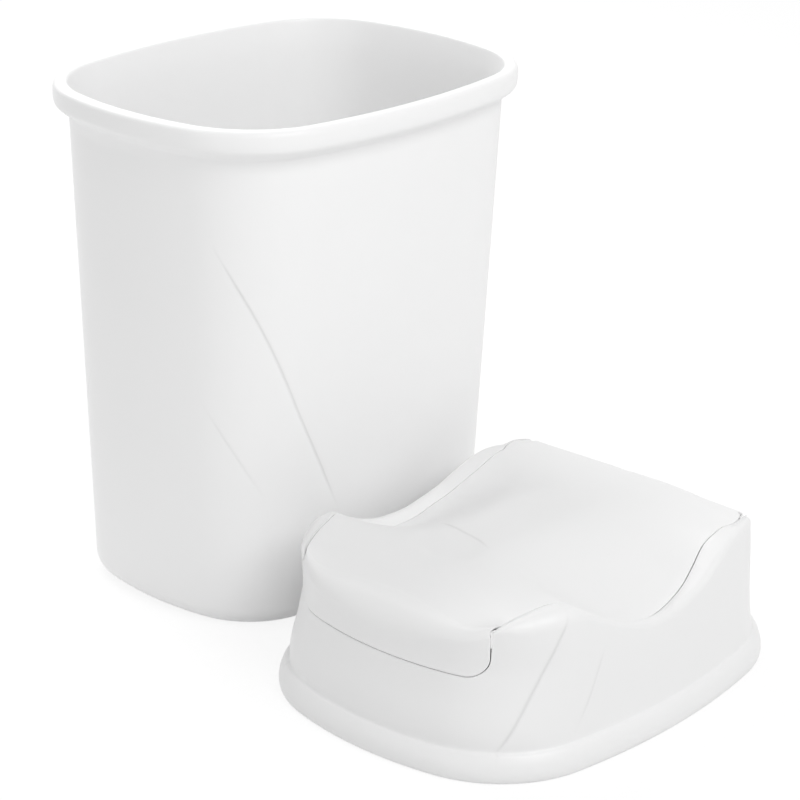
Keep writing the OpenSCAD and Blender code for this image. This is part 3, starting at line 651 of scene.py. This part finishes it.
def flap_grid(inner):
    """Rows of the outer face, or of the inner face when inner is true."""
    s, distance = flap_columns()
    drop = edge_drop(distance)
    thick = np.full_like(s, WALL)
    ribbed = np.where(distance < RIB_WIDTH, RIB_DEPTH, WALL)
    x0 = s * FLAP_HALF
    radius, front, top, nose_x = nose(x0)
    end_radius, end_front, _, _ = nose(np.float64(FLAP_HALF))
    rows = []
    z_low = lip_height(x0, GAP - SEEN_GAP)
    for near in NEAR_EDGE[:-1]:
        t = thick if inner else np.maximum(drop, edge_drop(near))
        rows.append(moved_in(*lip_at(x0, z_low + near), z_low + near, x0, 0.0, t))
    for f in np.linspace(0.1, 1, LIP_ROWS):
        z = mix(z_low + NEAR_EDGE[-2], top - radius, f)
        rows.append(moved_in(*lip_at(x0, z), z, x0, 0.0, thick if inner else drop))
    for angle in np.radians(np.linspace(0, 90, NOSE_ROWS + 1)[1:]):
        edge_y = end_front + end_radius * (1 - math.cos(angle))
        x = mix(nose_x, s * half_width(edge_y), math.sin(angle))
        y, z = front + radius * (1 - math.cos(angle)), top - radius * (1 - math.sin(angle))
        rows.append(moved_in(x, y, z, x0, angle, thick if inner else drop))
    for y in np.concatenate([np.linspace(-113, HINGE_BACK - 3, TOP_ROWS), [HINGE_BACK]]):
        drawn_in = 1.9 * smooth((y - HINGE_BACK + 11) / 8)
        half = half_width(y) - drawn_in if y < HINGE_BACK - 2 else BARREL_HALF - 0.8
        t = mix(ribbed, thick, smooth((y - 60) / 25)) if inner else drop
        z = flap_height(s * half, y, half) - thumb_dish(s * half, y) - t
        rows.append(np.stack([s * (half - 0.2 * t), np.full_like(s, y), z], axis=1))
    for angle in np.radians(np.linspace(0, 120, BARREL_ROWS + 1)[1:]):
        t = thick if inner else drop
        x = s * BARREL_HALF
        r = flap_height(x, np.float64(HINGE_BACK), BARREL_HALF) - HINGE_UP - t
        rows.append(np.stack([x, HINGE_BACK + r * math.sin(angle), HINGE_UP + r * math.cos(angle)], axis=1))
    return np.stack(rows) + LID_PLACE


def closed_sheet(name, outer, inner):
    """One closed skin: the outer grid, the inner grid the other way, and strips round the edge.
    Rows of a long grid run outer left to right, then inner right to left, and close up."""
    wrapped = np.concatenate([outer, inner[:, ::-1]], axis=1)
    piece = skin(name, wrapped, closed_columns=True)
    mesh = piece.data
    columns = wrapped.shape[1]
    n = outer.shape[1]
    first = np.arange(n)
    base = (wrapped.shape[0] - 1) * columns
    front = np.stack([first[:-1], 2 * n - 1 - first[:-1], 2 * n - 2 - first[:-1], first[1:]], axis=1)
    back = front[:, ::-1] + base
    quads = [list(p.vertices) for p in mesh.polygons] + front.tolist() + back.tolist()
    points = wrapped.reshape(-1, 3) / 1000
    mesh.clear_geometry()
    mesh.from_pydata(points.tolist(), [], quads)
    mesh.shade_smooth()
    mesh.update()
    return piece


flap_outer = flap_grid(False)
flap = closed_sheet("flap_moulding", flap_outer, flap_grid(True))
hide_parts("flap")
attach(flap, "flap")

# The dish has a crisp rear edge: a crease whose line runs across the flap, from x to y. Like the
# other creases, it gets painted shade along its line.
DISH_EDGE = [[-36, -45], [-26, -48.3], [-12, -51], [0, -52.8], [9, -55.5], [18, -60]]
FAR = 1e3  # mm, for points that no crease can reach: the lip, the nose and the inner face
first_row = len(NEAR_EDGE) - 1 + LIP_ROWS + NOSE_ROWS
on_flap = np.full((*flap_outer.shape[:2], 2), FAR)
on_flap[first_row:] = flap_outer[first_row:, :, :2] - LID_PLACE[:2]
on_flap = np.concatenate([on_flap, np.full_like(on_flap, FAR)], axis=1)
crease(flap, "crease_1", on_flap[..., 1], on_flap[..., 0], on_flap[..., 1] < FAR, DISH_EDGE, 0.8, 14)

# %% [markdown]
# ## Hinge bosses
#
# At each end of the barrel a boss grips the hinge pin, and a second boss inside the
# cover's rear corner carries it. They show only when the flap stands open. Each is a ring:
# a small section turned about the hinge line.

# %% Hinge bosses
def boss(name, body, x_from, x_to, outer, bore):
    """A ring about the hinge line: its section is a rectangle with 0.3 mm chamfers."""
    c, sides = 0.3, 48
    section = np.array([[x_from, bore], [x_from, outer - c], [x_from + c, outer],
                        [x_to - c, outer], [x_to, outer - c], [x_to, bore]])
    turn = np.linspace(0, 2 * np.pi, sides + 1)[:-1][:, None]
    grid = np.stack([np.broadcast_to(section[:, 0], (sides, len(section))),
                     HINGE_BACK + section[:, 1] * np.sin(turn),
                     HINGE_UP + section[:, 1] * np.cos(turn)], axis=-1)
    piece = skin(name, grid + LID_PLACE, closed_rows=True, closed_columns=True)
    piece.data.set_sharp_from_angle(angle=math.radians(35))
    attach(piece, body)
    return piece


# Each boss: from and to across, outer radius, bore radius
bosses = [boss("cover_boss_left", "cover", -88.2, -84.0, 4.6, 2.56),
          boss("cover_boss_right", "cover", 84.0, 88.2, 4.6, 2.56),
          boss("flap_boss_left", "flap", -81.6, -68.0, 5.6, 2.51),
          boss("flap_boss_right", "flap", 68.0, 81.6, 5.6, 2.51)]

# %% [markdown]
# ## Materials
#
# A material is a small tree of nodes. One helper adds a node with its settings and links,
# and another turns the hex colours of a paint chart into the linear values that light uses.

# %% Material tools
def linear(hex_colour):
    """sRGB hex to linear red, green, blue: each channel c becomes ((c + 0.055) / 1.055)^2.4,
    or c / 12.92 where it is dark."""
    c = np.array([int(hex_colour[i:i + 2], 16) for i in (1, 3, 5)]) / 255
    return (*np.where(c <= 0.04045, c / 12.92, ((c + 0.055) / 1.055) ** 2.4), 1.0)


def node(tree, kind, settings=None, links=None):
    """Adds a node. settings sets attributes, or inputs where the key is a socket's name;
    links maps a socket's name to the output that feeds it."""
    made = tree.nodes.new(kind)
    for key, value in (settings or {}).items():
        if isinstance(key, str) and hasattr(made, key):
            setattr(made, key, value)
        else:
            made.inputs[key].default_value = value
    for key, output in (links or {}).items():
        tree.links.new(output, made.inputs[key])
    return made


def calc(tree, operation, first, second=0.0):
    """The output of a Math node. first and second are numbers or the outputs of other nodes."""
    made = tree.nodes.new("ShaderNodeMath")
    made.operation = operation
    for socket, value in zip(made.inputs, (first, second)):
        if isinstance(value, (int, float)):
            socket.default_value = value
        else:
            tree.links.new(value, socket)
    return made.outputs[0]


def new_material(name):
    """An empty material with its output node, ready for a tree."""
    material = bpy.data.materials.new(name)
    material.use_nodes = True
    material.node_tree.nodes.clear()
    return material, material.node_tree


def dress(piece, material):
    """Puts one material on a whole piece."""
    piece.data.materials.clear()
    piece.data.materials.append(material)


# %% [markdown]
# ### Moulded polypropylene
#
# White polypropylene takes a satin gloss from a fine-blasted mould. The eye gets a broad
# soft highlight on a bright, even body, and a very fine orange-peel from the cooling melt.
# The peel is about 3 mm across and a hundredth of a millimetre deep. The grain of the blasted
# steel, near 0.1 mm, is too fine to show here, so it is drawn at 0.8 mm. The creases are
# grooves with a bell-shaped section, with painted shade that makes them a little darker inside.
# The lid's plastic is painted slightly greyer than the tub's: painted shade over the whole lid.

# %% White polypropylene
def groove(tree, name, half_width):
    """Height of a groove from 0 to 1 for the line kept under that name: exp(-(x^2 + y^2) / w^2)
    times the depth share z."""
    kept = node(tree, "ShaderNodeAttribute", {"attribute_name": name}).outputs["Vector"]
    parts = node(tree, "ShaderNodeSeparateXYZ", {}, {"Vector": kept}).outputs
    square_x = calc(tree, "MULTIPLY", parts["X"], parts["X"])
    square_y = calc(tree, "MULTIPLY", parts["Y"], parts["Y"])
    power = calc(tree, "MULTIPLY", calc(tree, "ADD", square_x, square_y), -1 / half_width**2)
    return calc(tree, "MULTIPLY", calc(tree, "EXPONENT", power), parts["Z"])


CREASE_HALF_WIDTH = 0.9  # mm
CREASE_SHADE = 0.16  # how far the plastic turns to the grey of a shaded groove


def white_polypropylene(name, colour, roughness):
    """Satin plastic with orange peel, fine grain, slow drifts of gloss and tone, and creases with painted
    shade in them.
    Noise scales are waves per metre: 330 is 3 mm, 1250 is 0.8 mm and 14 is 70 mm."""
    material, tree = new_material(name)
    place = node(tree, "ShaderNodeTexCoord").outputs["Object"]
    peel = node(tree, "ShaderNodeTexNoise", {"Scale": 330.0, "Detail": 2.0}, {"Vector": place})
    grain = node(tree, "ShaderNodeTexNoise", {"Scale": 1250.0, "Detail": 1.0}, {"Vector": place})
    cloud = node(tree, "ShaderNodeTexNoise", {"Scale": 14.0, "Detail": 3.0}, {"Vector": place})
    reach = {"From Min": 0.3, "From Max": 0.7, "To Min": roughness - 0.03, "To Max": roughness + 0.04}
    gloss = node(tree, "ShaderNodeMapRange", reach, {"Value": cloud.outputs["Fac"]})
    tint = node(tree, "ShaderNodeMix", {"data_type": "RGBA"}, {0: cloud.outputs["Fac"]})
    tint.inputs[6].default_value = linear(colour)
    tint.inputs[7].default_value = tuple(0.985 * v for v in linear(colour)[:3]) + (1.0,)
    fine = node(tree, "ShaderNodeBump", {"Strength": 0.10, "Distance": 0.00004},
                {"Height": grain.outputs["Fac"]})
    soft = node(tree, "ShaderNodeBump", {"Strength": 0.15, "Distance": 0.0001},
                {"Height": peel.outputs["Fac"], "Normal": fine.outputs["Normal"]})
    lines = calc(tree, "ADD", groove(tree, "crease_1", CREASE_HALF_WIDTH),
                 groove(tree, "crease_2", CREASE_HALF_WIDTH))
    creased = node(tree, "ShaderNodeBump", {"Strength": 1.0, "Distance": 0.0003},
                   {"Height": calc(tree, "SUBTRACT", 1.0, lines), "Normal": soft.outputs["Normal"]})
    # Painted shade: inside the creases and along the dish's rear edge, the colour turns towards grey by
    # CREASE_SHADE.
    body = node(tree, "ShaderNodeMix", {"data_type": "RGBA"},
                {0: calc(tree, "MULTIPLY", lines, CREASE_SHADE), 6: tint.outputs[2]})
    body.inputs[7].default_value = linear("#808080")
    shader = node(tree, "ShaderNodeBsdfPrincipled", {"IOR": 1.49},
                  {"Base Color": body.outputs[2], "Roughness": gloss.outputs["Result"],
                   "Normal": creased.outputs["Normal"]})
    node(tree, "ShaderNodeOutputMaterial", {}, {"Surface": shader.outputs["BSDF"]})
    return material


tub_plastic = white_polypropylene("white_polypropylene_moulded", "#F8F8F8", 0.38)
# Painted shade: the lid's copy of the same white plastic is greyer, to darken the whole lid.
lid_plastic = white_polypropylene("white_polypropylene_moulded_lid_painted_shade", "#F1F1F1", 0.38)
dress(tub, tub_plastic)
for piece in [cover, flap, *bosses]:
    dress(piece, lid_plastic)

# %% [markdown]
# ### Hinge pins and rim seal
#
# The pins are cut from drawn steel wire, with fine rings from the die. The seal is soft
# pale thermoplastic rubber: no gloss to speak of, and a faint dusting of grain.

# %% Steel and rubber
def drawn_steel():
    """Bright steel whose gloss varies in fine lines along the wire."""
    material, tree = new_material("drawn_steel_wire")
    place = node(tree, "ShaderNodeTexCoord").outputs["Object"]
    stretched = node(tree, "ShaderNodeMapping", {"Scale": (8.0, 900.0, 900.0)}, {"Vector": place})
    lines = node(tree, "ShaderNodeTexNoise", {"Scale": 1.0, "Detail": 2.0},
                 {"Vector": stretched.outputs["Vector"]})
    gloss = node(tree, "ShaderNodeMapRange", {"To Min": 0.22, "To Max": 0.36},
                 {"Value": lines.outputs["Fac"]})
    shader = node(tree, "ShaderNodeBsdfPrincipled", {"Metallic": 1.0, "Base Color": linear("#C4C6C8")},
                  {"Roughness": gloss.outputs["Result"]})
    node(tree, "ShaderNodeOutputMaterial", {}, {"Surface": shader.outputs["BSDF"]})
    return material


def soft_rubber():
    """Matt pale rubber with a dusty grain of about 1.4 mm."""
    material, tree = new_material("pale_grey_moulded_rubber")
    place = node(tree, "ShaderNodeTexCoord").outputs["Object"]
    dust = node(tree, "ShaderNodeTexNoise", {"Scale": 700.0, "Detail": 2.0}, {"Vector": place})
    bump = node(tree, "ShaderNodeBump", {"Strength": 0.2, "Distance": 0.0001},
                {"Height": dust.outputs["Fac"]})
    settings = {"Base Color": linear("#D2D2CF"), "Roughness": 0.75, "IOR": 1.5}
    shader = node(tree, "ShaderNodeBsdfPrincipled", settings, {"Normal": bump.outputs["Normal"]})
    node(tree, "ShaderNodeOutputMaterial", {}, {"Surface": shader.outputs["BSDF"]})
    return material


steel, rubber = drawn_steel(), soft_rubber()
for name in ("hinge_pin_left", "hinge_pin_right"):
    dress(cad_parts[name], steel)
dress(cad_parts["rim_seal"], rubber)

# %% [markdown]
# ## Floor, light and background
#
# The product stands in a white studio: a pale floor, one large soft light at the right, one
# behind on the left, and a weak low one in front. The camera sees the floor and the
# background as plain white; the floor keeps the soft shadow.

# %% Floor
floor_mesh = bpy.data.meshes.new("studio_floor")
far = 40  # metres, so that its edge lies near the horizon in a low view
corners = [(-far, -far, 0), (far, -far, 0), (far, far, 0), (-far, far, 0)]
floor_mesh.from_pydata(corners, [], [(0, 1, 2, 3)])
floor = bpy.data.objects.new("studio_floor", floor_mesh)
bpy.context.scene.collection.objects.link(floor)


def seen_directly(tree):
    """1 for camera, mirror and glass rays, which should see the plain background."""
    path = node(tree, "ShaderNodeLightPath").outputs
    either = calc(tree, "MAXIMUM", path["Is Camera Ray"], path["Is Glossy Ray"])
    return calc(tree, "MAXIMUM", either, path["Is Transmission Ray"])


def paper_floor():
    """Pale paper that scatters light, and for direct rays is mostly plain white."""
    material, tree = new_material("white_background_paper")
    share = calc(tree, "MULTIPLY", seen_directly(tree), 0.8)
    paper = node(tree, "ShaderNodeBsdfDiffuse", {"Color": linear("#EDEDED")})
    glow = node(tree, "ShaderNodeEmission", {"Color": (1, 1, 1, 1), "Strength": 1.06})
    both = node(tree, "ShaderNodeMixShader", {}, {0: share, 1: paper.outputs[0], 2: glow.outputs[0]})
    node(tree, "ShaderNodeOutputMaterial", {}, {"Surface": both.outputs[0]})
    return material


dress(floor, paper_floor())

# %% World
world = bpy.data.worlds.new("studio")
bpy.context.scene.world = world
world.use_nodes = True
world.node_tree.nodes.clear()
tree = world.node_tree
dim = node(tree, "ShaderNodeBackground", {"Color": (1, 1, 1, 1), "Strength": 0.55})
plain = node(tree, "ShaderNodeBackground", {"Color": (1, 1, 1, 1), "Strength": 1.0})
both = node(tree, "ShaderNodeMixShader", {},
            {0: seen_directly(tree), 1: dim.outputs[0], 2: plain.outputs[0]})
node(tree, "ShaderNodeOutputWorld", {}, {"Surface": both.outputs[0]})


# %% Lamps
def soft_light(name, place, target, size, power):
    """A square area lamp at place, turned to face target: size in metres, power in watts."""
    lamp = bpy.data.lights.new(name, "AREA")
    lamp.shape, lamp.size, lamp.energy = "SQUARE", size, power
    holder = bpy.data.objects.new(name, lamp)
    bpy.context.scene.collection.objects.link(holder)
    back = np.subtract(place, target) / np.linalg.norm(np.subtract(place, target))
    right = np.cross([0, 0, 1.0], back) if abs(back[2]) < 0.99 else np.array([1.0, 0, 0])
    right /= np.linalg.norm(right)
    m = np.eye(4)
    m[:3, :3] = np.stack([right, np.cross(back, right), back], axis=1)
    m[:3, 3] = place
    holder.matrix_world = Matrix(m.tolist())
    return holder


middle = (0.12, 0, 0.15)
soft_light("right_softbox", (1.667, -0.168, 1.706), middle, 1.3, 18.6)
soft_light("rear_softbox", (-1.374, 0.434, 1.706), middle, 1.3, 21.5)
soft_light("front_softbox", (0.261, -2.12, 0.719), middle, 1.3, 3.3)

# %% Finish
bpy.context.scene.view_settings.view_transform = "Standard"
